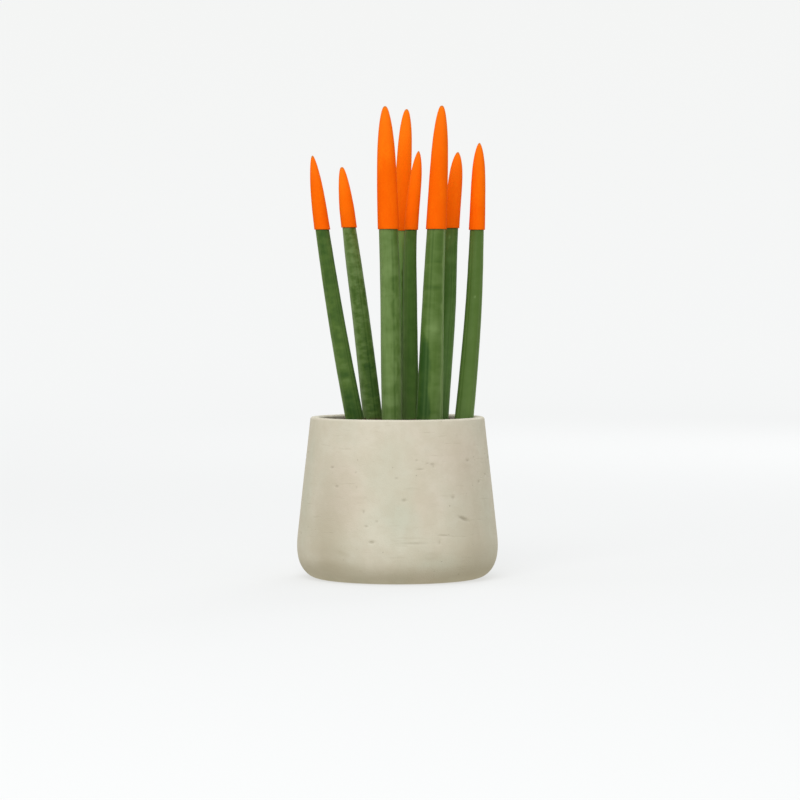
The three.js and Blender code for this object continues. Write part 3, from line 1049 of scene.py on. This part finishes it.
LEAVES = (
    Leaf(
        1,
        ((-0.025, -0.007), (-0.0367, -0.0085), (-0.0473, -0.0105), (-0.0564, -0.0125), (-0.0643, -0.014)),
        top=0.3204, girth=(0.0072, 0.0061, 0.0042), point_length=0.062, point_power=0.57, turn=36,
        finish=LeafFinish(0.39, 0.34, 0.12, 0.0055),
        # painted reflection of the pale backdrop along the left edge, and painted shade low on the front;
        # the patches are cross-bands
        tones=(
            Stripe(-165, 16, 14, 0.36), Stripe(-70, 84, 12, -0.20, 0.152, 0.137),
            Patch(-90, 0.235, 0.03, 0.06, -0.14), Patch(-90, 0.21, 0.012, 0.012, 0.07),
            Patch(-90, 0.2012, 0.016, 0.006, -0.10), Patch(-80, 0.19, 0.012, 0.016, 0.08),
            Patch(-90, 0.1625, 0.012, 0.006, 0.14), Patch(-90, 0.1562, 0.014, 0.004, -0.16),
            Patch(-95, 0.1498, 0.01, 0.006, 0.32),
        ),
    ),
    Leaf(
        2,
        ((-0.0145, 0.012), (-0.0212, 0.013), (-0.028, 0.014), (-0.0356, 0.015), (-0.0426, 0.016)),
        top=0.3130, girth=(0.0079, 0.0066, 0.0049), point_length=0.078, point_power=0.45, turn=18,
        finish=LeafFinish(0.54, 0.58, 0.14, 0.0042),
        # painted highlights along both edges, and painted shade low on the right; the patches are
        # cross-bands
        tones=(
            Stripe(-165, 32, 22, 0.42), Stripe(0, 40, 22, 0.30),
            Stripe(-38, 68, 15, -0.22, 0.185, 0.160), Patch(-90, 0.24, 0.03, 0.04, 0.20),
            Patch(-130, 0.247, 0.009, 0.014, 0.10), Patch(-90, 0.242, 0.02, 0.014, -0.10),
            Patch(-90, 0.213, 0.02, 0.012, 0.10), Patch(-120, 0.1955, 0.016, 0.005, 0.18),
            Patch(-60, 0.187, 0.01, 0.012, -0.08), Patch(-110, 0.1655, 0.016, 0.005, 0.16),
            Patch(-90, 0.181, 0.016, 0.005, -0.12), Patch(-90, 0.15, 0.014, 0.006, 0.16),
            Patch(-140, 0.1425, 0.01, 0.004, 0.14), Patch(-115, 0.125, 0.014, 0.004, 0.20),
        ),
        dry=0.0022, paint=THIN_COAT,
    ),
    Leaf(
        3,
        ((-0.0035, -0.019), (-0.0045, -0.021), (-0.0053, -0.0225), (-0.0075, -0.0235), (-0.0093, -0.024)),
        top=0.3571, girth=(0.0074, 0.0077, 0.0056), point_length=0.072, point_power=0.46, turn=18,
        finish=LeafFinish(0.87, 0.27, 0.18, 0.008),
        # painted shade on the right half, painted highlights along the right edge and low down, and a
        # lighter low left side; the thin dark stripes and small dark patches are streaks and mottling
        tones=(
            Stripe(0, 77, 16, -0.26), Stripe(-24, 40, 20, 0.28, 0.200, 0.120),
            Stripe(-6, 28, 10, 0.20, 0.240, 0.215), Stripe(180, 40, 30, 0.14, 0.165, 0.130),
            Stripe(-64, 3, 4, -0.16, 0.245, 0.215), Stripe(-124, 5, 6, -0.10),
            Patch(-62, 0.238, 0.004, 0.006, -0.16), Patch(-63, 0.2285, 0.004, 0.006, -0.20),
            Patch(-66, 0.2195, 0.005, 0.007, -0.20), Patch(-64, 0.2055, 0.004, 0.012, -0.14),
            Patch(-90, 0.259, 0.018, 0.016, -0.14), Patch(-105, 0.189, 0.012, 0.005, -0.10),
            Patch(-95, 0.171, 0.014, 0.012, 0.12), Patch(-100, 0.1435, 0.016, 0.008, -0.26),
            Patch(-100, 0.129, 0.016, 0.006, -0.18),
        ),
        waver=0.42,
    ),
    Leaf(
        4,
        ((0.0009, 0.017), (0.0009, 0.02), (0.002, 0.023), (0.0039, 0.026), (0.0071, 0.028)),
        top=0.3581, girth=(0.0073, 0.0062, 0.0043), point_length=0.050, point_power=0.46, turn=36,
        # the lighter light green, the broad light stripe and the light patch near the top are painted
        # light in the shade between leaves 3 and 5; the dark stripe on the right is painted shade
        finish=LeafFinish(0.52, 0.12, 0.14, light=shade(118, 160, 84)),
        tones=(
            Stripe(-116, 38, 10, 0.50), Stripe(-48, 20, 10, -0.12, 0.240, 0.225),
            Patch(-66, 0.258, 0.006, 0.026, 0.34),
        ),
        paint=THIN_COAT,
    ),
    Leaf(
        5,
        ((0.0096, 0.0), (0.0098, -0.001), (0.0097, -0.002), (0.0103, -0.003), (0.0161, -0.004)),
        top=0.3243, girth=(0.0072, 0.0055, 0.0037), point_length=0.040, point_power=0.6, turn=54,
        finish=LeafFinish(
            0.36, 0.17, 0.12, bloom_share=0.0, shine=0.04,
            dark=shade(45, 77, 26), middle=shade(83, 115, 53),
        ),
        # painted light: a lighter left edge against the shade beside leaf 3, and a lighter low part
        # against the shade near the soil
        tones=(
            Stripe(-165, 50, 30, 0.26), Stripe(-176, 34, 14, 0.26),
            Stripe(-90, 180, 20, 0.17, 0.200, 0.120),
        ),
        paint=THIN_COAT,
    ),
    Leaf(
        6,
        ((0.0231, -0.021), (0.0252, -0.0225), (0.0274, -0.024), (0.0304, -0.025), (0.0335, -0.026)),
        top=0.3574, girth=(0.0111, 0.0080, 0.0050), point_length=0.068, point_power=0.44, turn=72,
        finish=LeafFinish(0.58, 0.24, 0.16),
        # painted highlight along the right edge and a lighter strip on the left edge; painted shade on
        # the low left flank; the patches are cross-bands
        tones=(
            Stripe(-14, 22, 10, 0.52), Stripe(180, 84, 9, -0.52, 0.203, 0.172),
            Stripe(180, 26, 16, 0.16), Patch(-70, 0.241, 0.011, 0.0026, -0.16),
            Patch(-60, 0.229, 0.01, 0.012, 0.08), Patch(-100, 0.2212, 0.022, 0.0035, -0.20),
            Patch(-120, 0.2075, 0.014, 0.0045, -0.20), Patch(-81, 0.192, 0.011, 0.01, 0.34),
            Patch(-90, 0.13, 0.02, 0.008, -0.14), Stripe(-60, 30, 16, 0.06, 0.190, 0.150),
        ),
    ),
    Leaf(
        7,
        ((0.0302, 0.0045), (0.0343, 0.006), (0.0387, 0.008), (0.0412, 0.01), (0.0463, 0.012)),
        top=0.3243, girth=(0.0065, 0.0060, 0.0043), point_length=0.032, point_power=0.6, turn=18,
        finish=LeafFinish(0.56, 0.20, 0.08, middle=shade(71, 108, 39), light=shade(102, 139, 71)),
        # painted light: a lighter left side in the shade of leaf 6, and a lighter low part against the
        # shade near the soil; the small patches are marks and cross-bands
        tones=(
            Stripe(-120, 24, 14, 0.12), Stripe(-60, 100, 20, 0.37, 0.250, 0.140),
            Patch(-99, 0.2598, 0.0016, 0.0018, 0.90), Patch(-70, 0.244, 0.014, 0.006, 0.14),
            Patch(-70, 0.206, 0.014, 0.005, 0.08), Patch(-70, 0.16, 0.014, 0.008, 0.08),
        ),
        dry=0.0016, paint=THIN_COAT,
    ),
    Leaf(
        8,
        ((0.0468, -0.007), (0.0532, -0.0055), (0.0581, -0.004), (0.0607, -0.002), (0.0625, 0.0)),
        top=0.3307, girth=(0.0074, 0.0063, 0.0039), point_length=0.036, point_power=0.6, turn=54,
        finish=LeafFinish(0.54, 0.09, 0.06),
        # a lighter strip near the right edge, and a lighter low part that is painted light against the
        # shade near the soil
        tones=(
            Stripe(-12, 14, 12, 0.26), Stripe(-90, 180, 20, 0.08, 0.200, 0.120),
            Patch(-90, 0.214, 0.0014, 0.0014, 0.60), Patch(-90, 0.261, 0.014, 0.01, -0.09),
        ),
    ),
)


@dataclass
class Plant:
    """All the leaves, from left to right by their tips, and the paint on their ends."""

    leaves: tuple[Leaf, ...] = LEAVES

    def build(self) -> None:
        """Makes every leaf and its coat of paint."""
        paints = {paint: paint.build() for paint in (PaintFinish(), THIN_COAT)}
        for leaf in self.leaves:
            leaf.build()
            PaintCoat(leaf, paints[leaf.paint]).build()

    def clearance(self, x: Array, y: Array, heights: Array) -> Array:
        """How far places on the soil are from the nearest leaf's skin."""
        gaps = []
        for leaf in self.leaves:
            shares = (heights - leaf.foot) / leaf.length
            middle, _ = leaf.middle(shares)
            gaps.append(np.hypot(x - middle[..., 0], y - middle[..., 1]) - leaf.radius(shares))
        return np.min(gaps, axis=0)


# ---- the soil ----


@dataclass(frozen=True)
class Grains:
    """One kind of loose grain that lies on the soil."""

    name: str
    count: int
    smallest: float
    largest: float
    flatness: float
    boxiness: float
    roughness: float
    finish: SoilFinish


@dataclass
class Soil:
    """The potting mix: a low crumbly mound round the leaves, with loose grains on top."""

    pot: Planter
    plant: Plant
    edge_height: float = 0.116
    mound: float = 0.003
    lump: float = 0.0009
    wave_x: float = 230.0
    wave_y: float = 270.0
    wave_across: float = 410.0
    crumble: float = 0.0009
    collar_rise: float = 0.0008
    collar_reach: float = 0.0030
    rows: int = 88
    sides: int = 300
    seed: int = 21
    grains: tuple[Grains, ...] = (
        Grains("soil_crumbs", 760, 0.0010, 0.0030, 0.8, 1.0, 0.22,
               SoilFinish("crumbs", shade(52, 38, 28), shade(98, 75, 54))),
        Grains("bark_chips", 60, 0.0030, 0.0062, 0.3, 0.6, 0.12,
               SoilFinish("bark", shade(66, 44, 30), shade(120, 84, 56), 0.004, 0.0007, 0.0005)),
        Grains("white_grit", 46, 0.0009, 0.0017, 0.9, 0.9, 0.15,
               SoilFinish("grit", shade(190, 186, 176), shade(226, 224, 216), 0.003, 0.0005, 0.0003)),
    )

    @property
    def edge_radius(self) -> float:
        """The radius of the soil's upper edge."""
        return self.pot.inner_radius(self.edge_height) - SKIN_GAP

    def top(self, x: Array, y: Array) -> Array:
        """The height of the soil's top, without its crumbs."""
        inwards = 1 - (x**2 + y**2) / self.edge_radius**2
        lumps = np.sin(self.wave_x * x + 1) * np.cos(self.wave_y * y)
        lumps = lumps + np.sin(self.wave_across * (x + y))
        level = self.edge_height + self.mound * inwards
        level = level + self.lump * lumps * np.minimum(1, 3 * inwards)
        clear = np.maximum(self.plant.clearance(x, y, level), 0)
        return level + self.collar_rise * np.exp(-((clear / self.collar_reach) ** 2))

    def heap(self) -> None:
        """Makes the soil itself in place of its plain solid."""
        pot = self.pot
        below = self.edge_height - 0.003
        wall = [(pot.inner_radius(below) - SKIN_GAP, below)]
        radii = self.edge_radius * (1 - np.arange(self.rows) / self.rows)
        surface = np.stack([radii, np.full(self.rows, self.edge_height)], axis=1)
        outline = np.vstack([pot.corner(pot.inner_corner - SKIN_GAP), wall, surface])
        points = turned(outline, self.sides)
        upper = points[-self.rows :]
        upper[..., 2] = self.top(upper[..., 0], upper[..., 1])
        upper[..., 2] += self.crumble * uneven(upper, 0.005, 3)
        upper[..., 2] += 0.7 * self.crumble * uneven(upper, 0.0018)
        crown = np.array([0, 0, float(upper[-1, :, 2].mean())])
        mesh = skin_of_rings("soil", points, np.array([0, 0, pot.floor + SKIN_GAP]), crown)
        finished("potting_soil", mesh, SoilFinish().build(), "soil")

    def scatter(self, kind: Grains, draw: np.random.Generator) -> None:
        """Scatters one kind of grain on the soil as one piece, clear of the leaves and the pot.

        Args:
            kind: The kind of grain.
            draw: The seeded random numbers.
        """
        ball = bmesh.new()
        bmesh.ops.create_icosphere(ball, subdivisions=2, radius=1.0)
        base = np.array([v.co for v in ball.verts])
        faces = np.array([[v.index for v in f.verts] for f in ball.faces])
        ball.free()
        base = np.sign(base) * np.abs(base) ** kind.boxiness
        points, cells = [], []
        while len(points) < kind.count:
            size = draw.uniform(kind.smallest, kind.largest) / 2
            reach = self.pot.inner_radius(self.edge_height) - 0.0015 - size
            angle = draw.uniform(0, 2 * math.pi)
            radius = reach * math.sqrt(draw.uniform(0, 1))
            x, y = radius * math.cos(angle), radius * math.sin(angle)
            height = float(self.top(np.array(x), np.array(y)))
            if self.plant.clearance(x, y, height) < size + 0.0004:
                continue
            shape = base * np.array([1, draw.uniform(0.6, 0.9), kind.flatness])
            shape = shape * (1 + draw.normal(0, kind.roughness, (len(base), 1)))
            tilt = Vector((draw.normal(0, 0.25), draw.normal(0, 0.25), 1)).normalized()
            turn = np.array(tilt.to_track_quat("Z", "Y").to_matrix())
            spin = draw.uniform(0, 2 * math.pi)
            cos, sin = math.cos(spin), math.sin(spin)
            flat = np.array([[cos, -sin, 0], [sin, cos, 0], [0, 0, 1]])
            lift = size * kind.flatness * 0.35
            cells.append(faces + len(points) * len(base))
            points.append(size * shape @ flat.T @ turn.T + [x, y, height + lift])
        mesh = bpy.data.meshes.new(kind.name)
        mesh.from_pydata(np.vstack(points).tolist(), [], np.vstack(cells).tolist())
        mesh.shade_smooth()
        finished(kind.name, mesh, kind.finish.build())

    def build(self) -> None:
        """Makes the soil and everything that lies on it."""
        self.heap()
        draw = np.random.default_rng(self.seed)
        for kind in self.grains:
            self.scatter(kind, draw)


# ---- the studio ----


@dataclass(frozen=True)
class SoftLight:
    """A square soft light that faces the plant."""

    name: str
    place: Triple
    side: float
    watts: float

    def build(self, target: Vector) -> None:
        """Hangs the light, facing the target."""
        lamp = bpy.data.lights.new(self.name, "AREA")
        lamp.shape = "SQUARE"
        lamp.size = self.side
        lamp.energy = self.watts
        holder = in_scene(self.name, lamp)
        holder.location = self.place
        aim = target - Vector(self.place)
        holder.rotation_euler = aim.to_track_quat("-Z", "Y").to_euler()


@dataclass
class Studio:
    """A pale round floor that sweeps up all round, soft lights and the camera.

    The floor glows a little by itself, which keeps it even, and doesn't light the plant. It is
    clear from below, which leaves the pot's underside in sight, and lies a hair under it. What
    falls on the plant is the lamps' light and the air's, which is brighter above than below.
    """

    flat_radius: float = 3.2
    sweep_radius: float = 1.6
    wall_height: float = 4.5
    floor_level: float = -0.0002
    floor_sides: int = 128
    floor_colour: Colour = shade(144, 145, 145)
    floor_glow: float = 0.60
    wall_glow: float = 0.70
    glow_colour: Colour = shade(254, 255, 255)
    air_above: float = 0.75
    air_below: float = 0.56
    air_colours: tuple[Colour, Colour] = (shade(255, 249, 228), shade(255, 255, 255))
    target: Vector = field(default_factory=lambda: Vector((0.0, 0.0, 0.16)))
    camera_place: Triple = (0.00199, -2.3, 0.213)
    camera_dip: float = 1.93  # degrees below level
    camera_lens: float = 135.5  # on a 36 mm wide sensor
    lights: tuple[SoftLight, ...] = (
        SoftLight("key_light", (-0.42, -2.05, 2.05), 1.5, 39.5),
        SoftLight("side_light", (-2.3, -0.2, 1.0), 1.0, 2.0),
        SoftLight("back_light", (0.9, 2.0, 1.5), 1.2, 14.0),
    )

    def build_floor(self) -> None:
        """Makes the floor and its sweep."""
        sweep_middle = (self.flat_radius, self.sweep_radius)
        sweep = quarter_circle(sweep_middle, self.sweep_radius, -math.pi / 2, 24)
        inner = [(self.flat_radius * share, 0.0) for share in (0.02, 0.1, 0.3, 0.6)]
        outer = [(self.flat_radius + self.sweep_radius, self.wall_height)]
        outline = np.vstack([inner, sweep, outer]) + [0, self.floor_level]
        points = turned(outline, self.floor_sides).reshape(-1, 3)
        faces = quads_between(len(outline), self.floor_sides)[:, ::-1].tolist()
        mesh = bpy.data.meshes.new("studio_floor")
        mesh.from_pydata(points.tolist(), [], [list(range(self.floor_sides)), *faces])
        mesh.shade_smooth()
        material, sheet = open_material("pale_floor")
        length = sheet.add("ShaderNodeVectorMath", {0: sheet.place()}, operation="LENGTH")
        near, far = 0.25 * self.flat_radius, 1.2 * self.flat_radius
        glow = sheet.rise(length.outputs["Value"], near, far, self.floor_glow, self.wall_glow)
        behind = sheet.add("ShaderNodeNewGeometry").outputs["Backfacing"]
        seen = sheet.math("SUBTRACT", 1.0, behind)
        light = {"emission_color": self.glow_colour, "emission_strength": glow}
        sheet.surface(self.floor_colour, 1.0, 0.0, alpha=seen, **light)
        mesh.materials.append(material)
        floor = in_scene("studio_floor", mesh)
        floor.visible_diffuse = False
        floor.visible_glossy = False
        floor.visible_shadow = False

    def build_air(self) -> None:
        """Fills the studio with soft light, brighter from above than from below."""
        world = bpy.data.worlds.new("studio_air")
        world.use_nodes = True
        world.node_tree.nodes.clear()
        sheet = Sheet(world.node_tree)
        way = sheet.add("ShaderNodeTexCoord").outputs["Generated"]
        height = sheet.add("ShaderNodeSeparateXYZ", {0: way}).outputs[2]
        strength = sheet.rise(height, -0.5, 0.6, self.air_below, self.air_above)
        colour = sheet.mix(sheet.rise(height, -0.5, 0.3, kind="LINEAR"), *self.air_colours)
        air = sheet.add("ShaderNodeBackground", {"Color": colour, "Strength": strength})
        sheet.add("ShaderNodeOutputWorld", {"Surface": air.outputs[0]})
        bpy.context.scene.world = world

    def build_camera(self) -> None:
        """Sets up the camera and plain display colours."""
        lens = bpy.data.cameras.new("camera")
        lens.sensor_width = 36.0
        lens.lens = self.camera_lens
        lens.clip_end = 50.0
        camera = in_scene("camera", lens)
        camera.location = self.camera_place
        camera.rotation_euler = (math.radians(90 - self.camera_dip), 0, 0)
        bpy.context.scene.camera = camera
        bpy.context.scene.view_settings.view_transform = "Standard"
        bpy.context.scene.view_settings.look = "None"

    def build(self) -> None:
        """Sets up the whole studio."""
        self.build_camera()
        self.build_air()
        self.build_floor()
        for light in self.lights:
            light.build(self.target)


def write_sizes() -> None:
    """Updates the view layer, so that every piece's place and size are current."""
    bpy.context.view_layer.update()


def main() -> None:
    """Builds the studio, the pot, the plant and the soil."""
    logging.basicConfig(level=logging.INFO, format="%(message)s")
    Studio().build()
    build_blotches()
    build_grain()
    build_specks()
    pot = Planter()
    pot.build()
    plant = Plant()
    plant.build()
    Soil(pot, plant).build()
    write_sizes()


if __name__ == "__main__":
    main()
